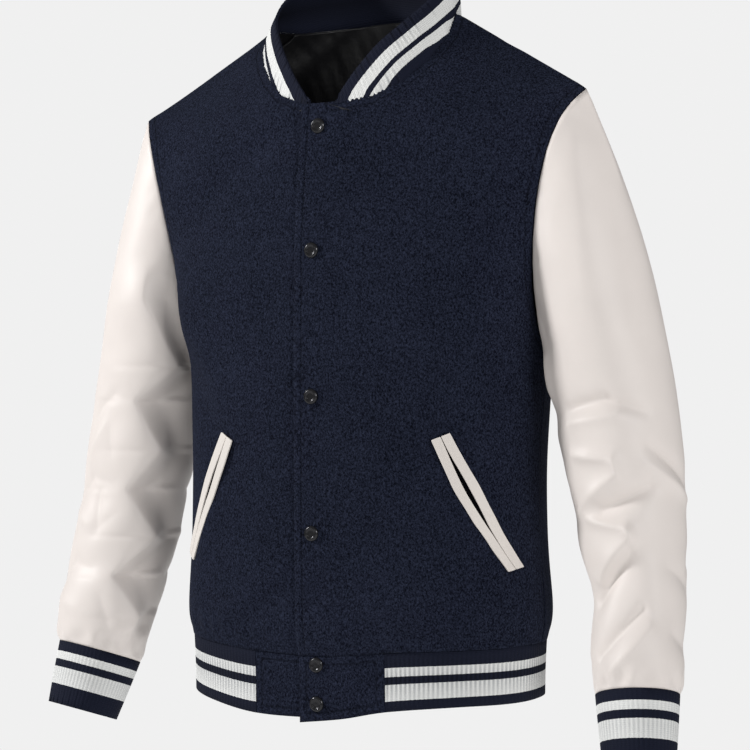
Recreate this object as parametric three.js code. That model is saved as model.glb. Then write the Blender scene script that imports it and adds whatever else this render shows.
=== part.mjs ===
// Varsity jacket, filled out as worn, in millimetres. +Z is up and the front faces -Y, so the wearer's
// left is +X. The origin lies midway between the two points where the shoulder seams meet the neck seam.
import * as THREE from "three";

// Cloth walls and the gaps between pieces.
const WOOL = 2.2;
const LEATHER = 1.6;
const RIB = 2.6;
const LINING = 1.2;
const WELT = 1.7;
const SEAM_GAP = 0.3;
const RIB_PITCH = 4.6;
const RIB_DEPTH = 0.8;

// Body.
const HEM_Z = -630;
const BAND_HEIGHT = 66;
const PLACKET_EDGE = -18;
const UNDERLAP_EDGE = 16;
const LAP_RISE = WOOL + 0.8;
const LAP_FULL_TO = 31;
const LAP_ENDS_AT = 60;
const COLUMNS = 12;
const SQUARENESS = 0.87;

// Torso by height: half width at the side seam, how far the front and the back stand from the middle.
const TORSO = [
  { z: -696, side: 192, front: 101, back: 109, seamY: 2 },
  { z: -630, side: 194, front: 103, back: 110, seamY: 2 },
  { z: -616, side: 198.5, front: 108, back: 116, seamY: 2 },
  { z: -596, side: 200, front: 110, back: 118, seamY: 2 },
  { z: -555, side: 196, front: 111, back: 116, seamY: 2 },
  { z: -500, side: 193.5, front: 112, back: 114, seamY: 3 },
  { z: -430, side: 194, front: 113, back: 115, seamY: 4 },
  { z: -380, side: 197, front: 113, back: 117, seamY: 5 },
  { z: -336, side: 201, front: 113, back: 119, seamY: 5 },
  { z: -280, side: 201, front: 113, back: 121, seamY: 5 },
  { z: -220, side: 201, front: 111, back: 122, seamY: 5 },
  { z: -160, side: 201, front: 105, back: 120, seamY: 5 },
  { z: -110, side: 201, front: 98, back: 116, seamY: 5 },
  { z: -60, side: 201, front: 94, back: 105, seamY: 5 },
  { z: -20, side: 201, front: 94, back: 93, seamY: 5 },
  { z: 14, side: 201, front: 94, back: 82, seamY: 5 },
];
const LOWER_ROWS = [-629.85, -616, -598, -565, -525, -485, -445, -405, -368, -336];
const FRONT_EDGE_ROWS = [-292, -247, -202, -162, -127];
const BACK_EDGE_ROWS = [-282, -228, -174, -120, -68, -24];

// The hem hangs unevenly: how far the band's top and bottom edges lie above the level of the tables, by
// place across. The wool above the band moves with it, less and less up to SWAY_FROM.
const SWAY_FROM = -540;
const SWAY_LEFT = [
  { x: -18, top: -8, bottom: -10 },
  { x: 30, top: -7, bottom: -3 },
  { x: 73, top: -1, bottom: 6 },
  { x: 140, top: 3, bottom: 13 },
  { x: 194, top: 5, bottom: 15 },
];
const SWAY_RIGHT = [
  { x: -194, top: -2, bottom: 5 },
  { x: -140, top: -5, bottom: 0 },
  { x: -73, top: -8, bottom: -6 },
  { x: 16, top: -8, bottom: -4 },
];
const SWAY_BACK = [
  { x: -194, top: -2, bottom: 5 },
  { x: 0, top: 1, bottom: 8 },
  { x: 194, top: 5, bottom: 15 },
];

// Seam lines, as points from one end to the other on the wearer's left. The right armhole mirrors them.
const ARMHOLE_FRONT = [
  [201, 5, -336], [201, -14, -322], [202, -32, -290], [206, -46, -240],
  [216, -54, -180], [228, -52, -135], [240, -42, -106], [253, -23, -88],
];
const ARMHOLE_BACK = [
  [201, 5, -336], [202, 26, -318], [206, 46, -270], [213, 55, -215],
  [224, 52, -160], [236, 36, -117], [246, 8, -95], [253, -23, -88],
];
const NECK_LEFT = [
  [-18, -97, -95], [17, -97, -95], [58, -88, -89], [90, -70, -68],
  [106, -45, -41], [110, -22, -18], [106, -5, 0],
];
const NECK_RIGHT = [
  [16, -94.5, -97], [-11, -96, -94.5], [-54, -85, -78], [-80, -62, -55],
  [-99, -40, -36], [-109, -21, -19], [-106, -5, 0],
];
const NECK_BACK = [
  [0, 82, 14], [35, 79, 13], [70, 62, 9], [93, 34, 4], [105, 10, 0], [106, -5, 0],
];

// Sleeves by height: centre, half width across and half depth from front to back.
const SLEEVE_LEFT = [
  { z: -372, x: 268, y: 8, across: 60.5, deep: 61 },
  { z: -430, x: 279, y: 6, across: 58, deep: 59 },
  { z: -480, x: 287, y: 4.5, across: 54, deep: 56 },
  { z: -540, x: 296.5, y: -2, across: 48.5, deep: 51 },
  { z: -590, x: 304.5, y: -13, across: 44.5, deep: 47 },
  { z: -625, x: 306.5, y: -25, across: 44.5, deep: 45 },
  { z: -648, x: 307.5, y: -31, across: 44, deep: 44 },
  { z: -664, x: 308.5, y: -34, across: 40, deep: 40.5 },
];
const SLEEVE_RIGHT = [
  { z: -372, x: 268, y: 8, across: 60.5, deep: 61 },
  { z: -430, x: 279, y: 6, across: 59.5, deep: 60 },
  { z: -480, x: 287, y: 4.5, across: 58.5, deep: 58 },
  { z: -540, x: 296.5, y: -2, across: 56, deep: 56 },
  { z: -590, x: 304.5, y: -13, across: 56, deep: 54 },
  { z: -625, x: 308, y: -26, across: 52.5, deep: 50 },
  { z: -648, x: 308.5, y: -32, across: 51, deep: 47 },
  { z: -664, x: 309, y: -34, across: 47, deep: 43 },
];
const CUFF_AXIS = new THREE.Vector3(9, -20, -63).normalize();
const CUFF_LENGTH = 66;
const CUFF_TAPER_LEFT = [1, 0.94, 0.86];
const CUFF_TAPER_RIGHT = [1, 0.93, 0.84];
const SLEEVE_END = -664;
const CAP_RINGS = 6;
const ARM_RINGS = 14;
const RING_POINTS = 24;
const CAP_BULGE = 11;

// Large sleeve folds. "angle" is the place round the arm: 0 outside, 90 front, 180 inside, 270 back. A
// plus depth is a roll that stands out, a minus depth a valley. "reach" is its spread up and down in mm,
// "spread" its spread round the arm in degrees, "slant" how far it runs down from its back end to its
// front end.
const FOLDS_RIGHT = [
  { z: -318, angle: 110, depth: -3, reach: 18, spread: 60, slant: 12 },
  { z: -359, angle: 140, depth: 4, reach: 20, spread: 55, slant: -16 },
  { z: -402, angle: 110, depth: -5, reach: 16, spread: 70, slant: 14 },
  { z: -446, angle: 145, depth: 5, reach: 19, spread: 60, slant: -20 },
  { z: -490, angle: 105, depth: -6, reach: 16, spread: 75, slant: 16 },
  { z: -535, angle: 145, depth: 6, reach: 19, spread: 60, slant: -20 },
  { z: -580, angle: 105, depth: -6, reach: 15, spread: 80, slant: 14 },
  { z: -618, angle: 150, depth: 5, reach: 15, spread: 60, slant: -12 },
  { z: -480, angle: 290, depth: -4, reach: 18, spread: 60, slant: 16 },
  { z: -565, angle: 300, depth: -5, reach: 16, spread: 60, slant: -14 },
];
const FOLDS_LEFT = [
  { z: -396, angle: 120, depth: -3, reach: 12, spread: 60, slant: 6 },
  { z: -422, angle: 110, depth: 3, reach: 13, spread: 70, slant: 4 },
  { z: -446, angle: 45, depth: -4, reach: 13, spread: 50, slant: -16 },
  { z: -466, angle: 130, depth: 4, reach: 14, spread: 60, slant: 12 },
  { z: -486, angle: 85, depth: -4.5, reach: 13, spread: 70, slant: -18 },
  { z: -528, angle: 130, depth: 5, reach: 16, spread: 60, slant: 14 },
  { z: -558, angle: 95, depth: -5, reach: 14, spread: 70, slant: -24 },
  { z: -600, angle: 60, depth: -4, reach: 14, spread: 60, slant: 16 },
  { z: -505, angle: 280, depth: -4, reach: 16, spread: 60, slant: 14 },
  { z: -585, angle: 270, depth: -5, reach: 14, spread: 70, slant: -14 },
];

// Body folds: a soft roll or valley along a straight line between two places on the front or the back.
const FOLDS_FRONT = [
  { x1: -26, z1: -545, x2: -120, z2: -612, depth: 3, reach: 14 },
  { x1: -45, z1: -585, x2: -110, z2: -624, depth: -3, reach: 12 },
  { x1: 60, z1: -590, x2: 160, z2: -606, depth: 2.5, reach: 14 },
  { x1: 190, z1: -330, x2: 120, z2: -440, depth: -3, reach: 18 },
  { x1: -190, z1: -330, x2: -120, z2: -420, depth: -3, reach: 18 },
];
const FOLDS_BACK = [
  { x1: -60, z1: -560, x2: 90, z2: -600, depth: 3, reach: 16 },
  { x1: 190, z1: -330, x2: 90, z2: -470, depth: -3, reach: 20 },
  { x1: -190, z1: -330, x2: -80, z2: -450, depth: -3, reach: 20 },
  { x1: 150, z1: -150, x2: 60, z2: -210, depth: -2, reach: 22 },
];

// Collar: its top edge on the wearer's left and right, from the front end to the middle of the back.
const COLLAR_WALL = 3;
const COLLAR_TOP_LEFT = [
  [19, -96, -90], [32, -88, -67], [52, -75, -38], [70, -58, -16],
  [84, -38, 4], [92, -12, 26], [93, 14, 42], [83, 42, 54], [58, 66, 62], [28, 77, 66], [0, 80, 67],
];
const COLLAR_TOP_RIGHT = [
  [-13, -96, -90], [-22, -93, -80], [-43, -82, -53], [-66, -62, -24],
  [-86, -36, 4], [-94, -10, 26], [-93, 15, 42], [-83, 42, 54], [-58, 66, 62], [-28, 77, 66], [0, 80, 67],
];
const COLLAR_STARTS_LEFT = 17;
const COLLAR_STARTS_RIGHT = -11;
const COLLAR_LIFT = 0.6;
const COLLAR_ROWS = 2;

// Waistband patches, snaps and pockets.
const PATCH_ENDS = 73;
const SNAP_PROFILE = [[0, 0], [7.6, 0], [7.6, 1.5], [6.7, 2.8], [5.2, 3.1], [4.3, 2.4], [0, 2.1]];
const SNAP_SIDES = 14;
const SNAP_HEIGHTS = [-118, -241, -384, -518, -640, -679];
const SNAP_X = 2;
const POCKETS = {
  left: { top: [129, -422], bottom: [186, -551], gape: 4.5 },
  right: { top: [-104, -425], bottom: [-170, -552], gape: 3.5 },
};
const WELT_WIDTH = 9.5;
const WELT_LIFT = 0.7;
const SNAP_LIFT = 0.5;

const NAVY = 0x1e2337;
const NAVY_RIB = 0x191e2d;
const CREAM = 0xebe6e1;
const WELT_CREAM = 0xe1d7d2;
const BLACK = 0x141416;

const part = new THREE.Group();
part.name = "varsity_jacket";

function vec(p) {
  return new THREE.Vector3(p[0], p[1], p[2]);
}

function smooth(t) {
  const k = Math.min(1, Math.max(0, t));
  return k * k * (3 - 2 * k);
}

// One column of a table, read at any height by a curve through its rows.
function column(table, key, at, name) {
  const rows = [...table].sort((p, q) => p[key] - q[key]);
  const last = rows.length - 1;
  if (at <= rows[0][key]) return rows[0][name];
  if (at >= rows[last][key]) return rows[last][name];
  const i = rows.findIndex((row) => row[key] > at) - 1;
  const slope = (j) => {
    const a = rows[Math.max(0, j - 1)];
    const b = rows[Math.min(last, j + 1)];
    return (b[name] - a[name]) / (b[key] - a[key]);
  };
  const h = rows[i + 1][key] - rows[i][key];
  const t = (at - rows[i][key]) / h;
  const start = (2 * t ** 3 - 3 * t ** 2 + 1) * rows[i][name] + (t ** 3 - 2 * t ** 2 + t) * h * slope(i);
  const end = (3 * t ** 2 - 2 * t ** 3) * rows[i + 1][name] + (t ** 3 - t ** 2) * h * slope(i + 1);
  return start + end;
}

// Evenly spaced points on a smooth line through the given ones.
function spaced(points, count) {
  const curve = new THREE.CatmullRomCurve3(points.map(vec), false, "centripetal");
  curve.arcLengthDivisions = 400;
  return Array.from({ length: count + 1 }, (_, i) => curve.getPointAt(i / count));
}

function mirrored(points) {
  return points.map((p) => new THREE.Vector3(-p.x, p.y, p.z));
}

// Height of the folds at a place: rolls and valleys along straight lines, lower toward their ends.
const FOLD_END_SHARE = 0.35;
function lineFolds(folds, x, z) {
  let sum = 0;
  for (const f of folds) {
    const dx = f.x2 - f.x1;
    const dz = f.z2 - f.z1;
    const along = ((x - f.x1) * dx + (z - f.z1) * dz) / (dx * dx + dz * dz);
    const k = Math.min(1, Math.max(0, along));
    const away = Math.hypot(x - f.x1 - k * dx, z - f.z1 - k * dz);
    const fade = FOLD_END_SHARE + (1 - FOLD_END_SHARE) * Math.sin(Math.PI * k);
    sum += f.depth * fade * Math.exp(-((away / f.reach) ** 2));
  }
  return sum;
}

// A wall's outer points in rows and columns. "round" joins the last column to the first, "out" is 1 or -1
// so that the normals point away from the body. Up to the row "sharedTo" the first column is the middle
// line of a piece whose other half mirrors this one.
function surface(name, rows, round, out, wall, sharedTo = -1) {
  const grid = { name, rows, round, out, wall, sharedTo, normals: [], inner: [] };
  const columns = rows[0].length;
  rows.forEach((row, r) => {
    grid.normals.push([]);
    row.forEach((point, c) => {
      const left = round ? (c + columns - 1) % columns : Math.max(0, c - 1);
      const right = round ? (c + 1) % columns : Math.min(columns - 1, c + 1);
      const across = row[right].clone().sub(row[left]);
      const up = rows[Math.min(rows.length - 1, r + 1)][c].clone().sub(rows[Math.max(0, r - 1)][c]);
      const normal = across.cross(up).multiplyScalar(out);
      if (c === 0 && r <= sharedTo) normal.x = 0;
      grid.normals[r].push(normal.normalize());
    });
  });
  grid.inner = grid.normals.map((row) => row.map((n) => n.clone().multiplyScalar(-wall)));
  return grid;
}

// Where the edges of several pieces meet in a point, their walls share a mitre and stand a gap apart. At a
// corner of three pieces they stand further apart. Walls that meet at a fold sharper than MITRE_FROM keep
// square edges.
const KEYS_PER_MM = 20;
const CORNER_APART = 1.6;
const PULL_IN = 3;
const MITRE_FROM = 0.35;
const MITRE_FULL = 0.7;
const MITRE_LEAST = 0.6;
function joinSeams(grids) {
  const meets = new Map();
  for (const grid of grids) {
    const last = grid.rows.length - 1;
    const columns = grid.rows[0].length;
    grid.rows.forEach((row, r) => {
      row.forEach((point, c) => {
        const rim = r === 0 || r === last || (!grid.round && (c === 0 || c === columns - 1));
        if (!rim || (c === 0 && r <= grid.sharedTo)) return;
        const key = [point.x, point.y, point.z].map((v) => Math.round(v * KEYS_PER_MM)).join(" ");
        const inR = r === 0 ? 1 : r === last ? last - 1 : r;
        const inC = grid.round ? c : c === 0 ? 1 : c === columns - 1 ? columns - 2 : c;
        const into = grid.rows[inR][inC].clone().sub(point).normalize();
        if (!meets.has(key)) meets.set(key, []);
        meets.get(key).push({ grid, r, c, into, normal: grid.normals[r][c] });
      });
    });
  }
  const moves = [];
  for (const all of meets.values()) {
    if (all.length < 2) continue;
    const apart = all.length > 2 ? CORNER_APART : 1;
    for (const one of all) {
      const others = all.filter((o) => o !== one);
      const mean = new THREE.Vector3();
      const away = new THREE.Vector3();
      for (const o of others) {
        mean.addScaledVector(o.normal, 1 / others.length);
        away.addScaledVector(one.into, PULL_IN).addScaledVector(o.into, -PULL_IN);
        away.addScaledVector(one.normal, -1).addScaledVector(o.normal, 1);
      }
      const mitre = one.normal.clone().add(mean).normalize();
      const facing = mitre.dot(one.normal);
      const share = smooth((facing - MITRE_FROM) / (MITRE_FULL - MITRE_FROM));
      mitre.multiplyScalar(1 / Math.max(MITRE_LEAST, facing));
      const along = one.normal.clone().lerp(mitre, share).multiplyScalar(-one.grid.wall);
      moves.push({ ...one, along, shift: away.normalize().multiplyScalar(SEAM_GAP * apart) });
    }
  }
  for (const m of moves) {
    m.grid.inner[m.r][m.c] = m.along;
    m.grid.rows[m.r][m.c] = m.grid.rows[m.r][m.c].clone().add(m.shift);
  }
}

function addMesh(name, triangles, color, roughness, metalness = 0) {
  const geometry = new THREE.BufferGeometry();
  const flat = triangles.flat().flatMap((p) => [p.x, p.y, p.z]);
  geometry.setAttribute("position", new THREE.Float32BufferAttribute(flat, 3));
  geometry.computeVertexNormals();
  const material = new THREE.MeshStandardMaterial({ color, roughness, metalness });
  const mesh = new THREE.Mesh(geometry, material);
  mesh.name = name;
  part.add(mesh);
  return mesh;
}

// Two lines of points joined by triangles; they need not have the same number of points.
function bridge(triangles, a, b, flip) {
  let i = 0;
  let j = 0;
  while (i < a.length - 1 || j < b.length - 1) {
    const behind = (i + 1) / (a.length - 1) <= (j + 1) / (b.length - 1);
    const stepA = j === b.length - 1 || (i < a.length - 1 && behind);
    const next = stepA ? a[i + 1] : b[j + 1];
    triangles.push(flip ? [a[i], next, b[j]] : [a[i], b[j], next]);
    if (stepA) i += 1;
    else j += 1;
  }
}

// A closed wall between an outer and an inner set of rows. The inner side may have fewer points in a row.
function wallTriangles(outer, inner, round, out, sharedTo = -1) {
  const triangles = [];
  const flip = out < 0;
  const close = (row) => (round ? [...row, row[0]] : row);
  for (let r = 0; r < outer.length - 1; r += 1) {
    const a = close(outer[r]);
    const b = close(outer[r + 1]);
    for (let c = 0; c < a.length - 1; c += 1) {
      triangles.push(flip ? [a[c], b[c], b[c + 1]] : [a[c], b[c + 1], b[c]]);
      triangles.push(flip ? [a[c], b[c + 1], a[c + 1]] : [a[c], a[c + 1], b[c + 1]]);
    }
  }
  for (let r = 0; r < inner.length - 1; r += 1) {
    const a = close(inner[r]);
    const b = close(inner[r + 1]);
    for (let c = 0; c < a.length - 1; c += 1) {
      triangles.push(flip ? [a[c], b[c + 1], b[c]] : [a[c], b[c], b[c + 1]]);
      triangles.push(flip ? [a[c], a[c + 1], b[c + 1]] : [a[c], b[c + 1], a[c + 1]]);
    }
  }
  bridge(triangles, close(outer[0]), close(inner[0]), flip);
  bridge(triangles, close(outer[outer.length - 1]), close(inner[inner.length - 1]), !flip);
  if (!round) {
    const first = (rows) => rows.slice(Math.max(0, sharedTo)).map((row) => row[0]);
    const last = (rows) => rows.map((row) => row[row.length - 1]);
    bridge(triangles, first(outer), first(inner), !flip);
    bridge(triangles, last(outer), last(inner), flip);
  }
  return triangles;
}

function shellTriangles(grid) {
  const inner = grid.rows.map((row, r) => row.map((p, c) => p.clone().add(grid.inner[r][c])));
  return wallTriangles(grid.rows, inner, grid.round, grid.out, grid.sharedTo);
}

function addShell(grid, color, roughness) {
  addMesh(grid.name, shellTriangles(grid), color, roughness);
}

// A knitted wall: its outer points stand up in ribs, and the inner side is plain with fewer columns.
const INNER_STEP = 4;
function addRibbed(name, rows, round, out) {
  const grid = surface(name, rows, round, out, RIB);
  const columns = rows[0].length;
  const keep = (c) => c % INNER_STEP === 0 || (!round && c === columns - 1);
  const outer = rows.map((row, r) => row.map((p, c) => {
    return p.clone().addScaledVector(grid.normals[r][c], c % 2 === 0 ? 0 : -RIB_DEPTH);
  }));
  const inner = rows.map((row, r) => {
    const points = row.map((p, c) => p.clone().addScaledVector(grid.normals[r][c], -RIB));
    return points.filter((p, c) => keep(c));
  });
  addMesh(name, wallTriangles(outer, inner, round, out), NAVY_RIB, 0.95);
}

// Points at equal steps on a chain of straight lines.
function resampled(chain, count) {
  const lengths = [0];
  for (let i = 1; i < chain.length; i += 1) lengths.push(lengths[i - 1] + chain[i].distanceTo(chain[i - 1]));
  const total = lengths[lengths.length - 1];
  let i = 1;
  return Array.from({ length: count + 1 }, (_, k) => {
    const at = (total * k) / count;
    while (i < chain.length - 1 && lengths[i] < at) i += 1;
    const t = (at - lengths[i - 1]) / (lengths[i] - lengths[i - 1]);
    return chain[i - 1].clone().lerp(chain[i], Math.min(1, t));
  });
}

function chainLength(chain) {
  return chain.reduce((sum, p, i) => sum + (i ? p.distanceTo(chain[i - 1]) : 0), 0);
}

// Fronts and back. A row runs from the middle or the neck to the side seam or the armhole. "up" is 0 below
// the armhole and 1 at the shoulder, where the cloth turns through a smaller angle. The overlap of the
// fronts is flat.
const SHOULDER_TURN = Math.PI * 0.27;
const ROUNDS_BY = 1 / 1.6;
const FLAT_TO = UNDERLAP_EDGE + 2;
const CALM_REACH = 24;
const CALM_SIDE = 0.25;
function panelRow(inside, outside, up, folds, side, lap) {
  const reach = THREE.MathUtils.lerp(Math.PI / 2, SHOULDER_TURN, smooth(up));
  const power = THREE.MathUtils.lerp(SQUARENESS, 1, smooth(up / ROUNDS_BY));
  return Array.from({ length: COLUMNS + 1 }, (_, c) => {
    const fx = (Math.sin((c / COLUMNS) * reach) / Math.sin(reach)) ** power;
    const x = inside.x + (outside.x - inside.x) * fx;
    const flatTo = Math.max(Math.abs(inside.x), side < 0 ? FLAT_TO : 0);
    const fz = Math.max(0, (Math.abs(x) - flatTo) / (Math.abs(outside.x) - flatTo));
    const z = inside.z + (outside.z - inside.z) * fz;
    const start = inside.x * outside.x < 0 || Math.abs(inside.x) < FLAT_TO ? 0 : Math.abs(inside.x);
    const out = Math.max(0, (Math.abs(x) - start) / (Math.abs(outside.x) - start));
    const turn = Math.asin(Math.min(1, out) ** (1 / power) * Math.sin(reach));
    const fy = Math.max(0, (Math.cos(turn) - Math.cos(reach)) / (1 - Math.cos(reach))) ** power;
    const byFront = side > 0 ? 1 : smooth((Math.abs(x) - FLAT_TO - 2) / CALM_REACH);
    const calm = byFront * smooth((1 - fx) / CALM_SIDE);
    const fold = lineFolds(folds, x, z) * calm + lap(x);
    return new THREE.Vector3(x, outside.y + (inside.y - outside.y) * fy + side * fold, z);
  });
}

function panelRows(edge, neck, armhole, side, mirror, folds, lap) {
  const edgeX = side > 0 ? 0 : edge;
  const depth = (z) => (side > 0 ? column(TORSO, "z", z, "back") : -column(TORSO, "z", z, "front"));
  const middle = (z) => new THREE.Vector3(edgeX, depth(z), z);
  const lower = LOWER_ROWS.map((z) => {
    const half = column(TORSO, "z", z, "side") * mirror;
    const out = new THREE.Vector3(half, column(TORSO, "z", z, "seamY"), z);
    return panelRow(middle(z), out, 0, folds, side, lap);
  });
  const heights = side > 0 ? BACK_EDGE_ROWS : FRONT_EDGE_ROWS;
  const inside = [...heights.map(middle), ...neck];
  const upper = inside.map((p, i) => {
    return panelRow(p, armhole[i + 1], (i + 1) / inside.length, folds, side, lap);
  });
  return [...lower, ...upper];
}

const ARM_STEPS = RING_POINTS / 2;
const armholeFront = spaced(ARMHOLE_FRONT, ARM_STEPS);
const armholeBack = spaced(ARMHOLE_BACK, ARM_STEPS);
const neckLeft = spaced(NECK_LEFT, ARM_STEPS - FRONT_EDGE_ROWS.length - 1);
const neckRight = spaced(NECK_RIGHT, ARM_STEPS - FRONT_EDGE_ROWS.length - 1);
const neckBack = spaced(NECK_BACK, ARM_STEPS - BACK_EDGE_ROWS.length - 1);

function swayed(p, table) {
  const down = Math.min(1, Math.max(0, (HEM_Z - p.z) / BAND_HEIGHT));
  const held = smooth((SWAY_FROM - p.z) / (SWAY_FROM - HEM_Z));
  const top = column(table, "x", p.x, "top");
  const lift = THREE.MathUtils.lerp(top, column(table, "x", p.x, "bottom"), down);
  return p.clone().setZ(p.z + lift * held);
}

function swayedRows(rows, table) {
  return rows.map((row) => row.map((p) => swayed(p, table)));
}

const lapRise = (x) => LAP_RISE * smooth((LAP_ENDS_AT - x) / (LAP_ENDS_AT - LAP_FULL_TO));
const noLap = () => 0;
const leftRows = swayedRows(
  panelRows(PLACKET_EDGE, neckLeft, armholeFront, -1, 1, FOLDS_FRONT, lapRise), SWAY_LEFT,
);
const rightRows = swayedRows(
  panelRows(UNDERLAP_EDGE, neckRight, mirrored(armholeFront), -1, -1, FOLDS_FRONT, noLap), SWAY_RIGHT,
);
const backLeft = swayedRows(
  panelRows(0, neckBack, armholeBack, 1, 1, FOLDS_BACK, noLap), SWAY_BACK,
);
const backRight = swayedRows(
  panelRows(0, mirrored(neckBack), mirrored(armholeBack), 1, -1, FOLDS_BACK, noLap), SWAY_BACK,
);
const NECK_ROW = LOWER_ROWS.length + BACK_EDGE_ROWS.length;
const FRONT_NECK_ROW = LOWER_ROWS.length + FRONT_EDGE_ROWS.length;

// The neck seam as the collar meets it, on each side from the front end to the middle of the back.
function neckSeam(frontRows, back, startX) {
  const front = frontRows.slice(FRONT_NECK_ROW).map((row) => row[0].clone());
  const around = back.slice(NECK_ROW).map((row) => row[0].clone()).reverse().slice(1);
  const first = front.findIndex((p) => Math.abs(p.x - front[0].x) > Math.abs(startX - front[0].x));
  const t = (startX - front[first - 1].x) / (front[first].x - front[first - 1].x);
  return [front[first - 1].clone().lerp(front[first], t), ...front.slice(first), ...around];
}
const seamLeft = neckSeam(leftRows, backLeft, COLLAR_STARTS_LEFT);
const seamRight = neckSeam(rightRows, backRight, COLLAR_STARTS_RIGHT);

// Sleeves: the armhole runs into the first ring of the arm, and the rings follow the arm down to the cuff.
// The last rings turn to the cuff's axis, and the folds end above the cuff.
const AXIS_STEP = 6;
const AXIS_TURNS_IN = 15;
const FOLDS_END_IN = 14;
function armFrame(table, z, mirror) {
  const at = (h) => new THREE.Vector3(column(table, "z", h, "x"), column(table, "z", h, "y"), h);
  const axis = at(z - AXIS_STEP).sub(at(z + AXIS_STEP)).normalize();
  axis.lerp(CUFF_AXIS, smooth((SLEEVE_END + AXIS_TURNS_IN - z) / AXIS_TURNS_IN)).normalize();
  const across = new THREE.Vector3(1, 0, 0);
  across.addScaledVector(axis, -across.dot(axis)).normalize();
  const forward = new THREE.Vector3().crossVectors(axis, across).normalize();
  if (forward.y > 0) forward.negate();
  return { centre: at(z), axis, across, forward, mirror };
}

function armFold(folds, height, degrees) {
  let sum = 0;
  for (const f of folds) {
    let turn = degrees - f.angle;
    if (turn > 180) turn -= 360;
    if (turn < -180) turn += 360;
    const rise = height - f.z - f.slant * Math.sin((turn * Math.PI) / 180);
    sum += f.depth * Math.exp(-((rise / f.reach) ** 2) - (turn / f.spread) ** 2);
  }
  return sum;
}

function armRing(table, folds, z, mirror) {
  const f = armFrame(table, z, mirror);
  return Array.from({ length: RING_POINTS }, (_, i) => {
    const turn = (i / RING_POINTS) * 2 * Math.PI;
    const grow = armFold(folds, z, (i / RING_POINTS) * 360) * smooth((z - SLEEVE_END) / FOLDS_END_IN);
    const a = (column(table, "z", z, "across") + grow) * Math.cos(turn);
    const b = (column(table, "z", z, "deep") + grow) * Math.sin(turn);
    const p = f.centre.clone().addScaledVector(f.across, a).addScaledVector(f.forward, b);
    p.x *= mirror;
    return p;
  });
}

// The cap of a sleeve swells between armhole and arm, most on the outside. Its folds start below
// CAP_FOLDS_FROM.
const SWELL_INSIDE = 0.2;
const CAP_FOLDS_FROM = -250;
const CAP_FOLDS_IN = 60;
function sleeveRows(table, folds, mirror) {
  const loop = [...[...armholeFront].reverse(), ...armholeBack.slice(1, -1)];
  const start = loop.map((p) => new THREE.Vector3(p.x * mirror, p.y, p.z));
  const top = table[0].z;
  const bottom = table[table.length - 1].z;
  const arm = armRing(table, folds, top, mirror);
  const rows = [start];
  for (let k = 1; k < CAP_RINGS; k += 1) {
    const t = k / CAP_RINGS;
    rows.push(start.map((p, i) => {
      const turn = (i / RING_POINTS) * 2 * Math.PI;
      const outside = THREE.MathUtils.lerp(SWELL_INSIDE, 1, (1 + Math.cos(turn)) / 2);
      const swell = CAP_BULGE * Math.sin(Math.PI * t) * outside;
      const q = p.clone().lerp(arm[i], t);
      q.x += mirror * swell * Math.max(0, Math.cos(turn));
      q.y -= swell * Math.sin(turn);
      const calm = smooth(t * 2) * smooth((CAP_FOLDS_FROM - q.z) / CAP_FOLDS_IN);
      const lump = armFold(folds, q.z, (i / RING_POINTS) * 360) * calm;
      q.x += mirror * lump * Math.max(0, Math.cos(turn));
      q.y -= lump * Math.sin(turn);
      return q;
    }));
  }
  for (let k = 0; k <= ARM_RINGS; k += 1) {
    rows.push(armRing(table, folds, top + ((bottom - top) * k) / ARM_RINGS, mirror));
  }
  return rows;
}

const grids = {
  left: surface("front_left", leftRows, false, 1, WOOL),
  right: surface("front_right", rightRows, false, -1, WOOL),
  backLeft: surface("body_back", backLeft, false, -1, WOOL, NECK_ROW),
  backRight: surface("body_back", backRight, false, 1, WOOL, NECK_ROW),
  sleeveLeft: surface("sleeve_left", sleeveRows(SLEEVE_LEFT, FOLDS_LEFT, 1), true, 1, LEATHER),
  sleeveRight: surface("sleeve_right", sleeveRows(SLEEVE_RIGHT, FOLDS_RIGHT, -1), true, -1, LEATHER),
};
joinSeams(Object.values(grids));
addShell(grids.left, NAVY, 0.9);
addShell(grids.right, NAVY, 0.9);
addMesh("body_back", [...shellTriangles(grids.backLeft), ...shellTriangles(grids.backRight)], NAVY, 0.9);
addShell(grids.sleeveLeft, CREAM, 0.45);
addShell(grids.sleeveRight, CREAM, 0.45);

// Lining of the upper back, inside the wool, where it shows through the neck.
const LINING_FROM = LOWER_ROWS.length + 3;
const LINING_COLUMNS = COLUMNS - 1;
const LINING_DEPTH = WOOL + 2 * SEAM_GAP;
function liningHalf(back) {
  const rows = [];
  for (let r = LINING_FROM; r < back.rows.length - 1; r += 1) {
    rows.push(back.rows[r].slice(0, LINING_COLUMNS).map((p, c) => {
      return p.clone().addScaledVector(back.normals[r][c], -LINING_DEPTH);
    }));
  }
  const half = surface("back_lining", rows, false, back.out, LINING, NECK_ROW - LINING_FROM);
  return shellTriangles(half);
}
addMesh("back_lining", [...liningHalf(grids.backLeft), ...liningHalf(grids.backRight)], BLACK, 0.6);

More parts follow.
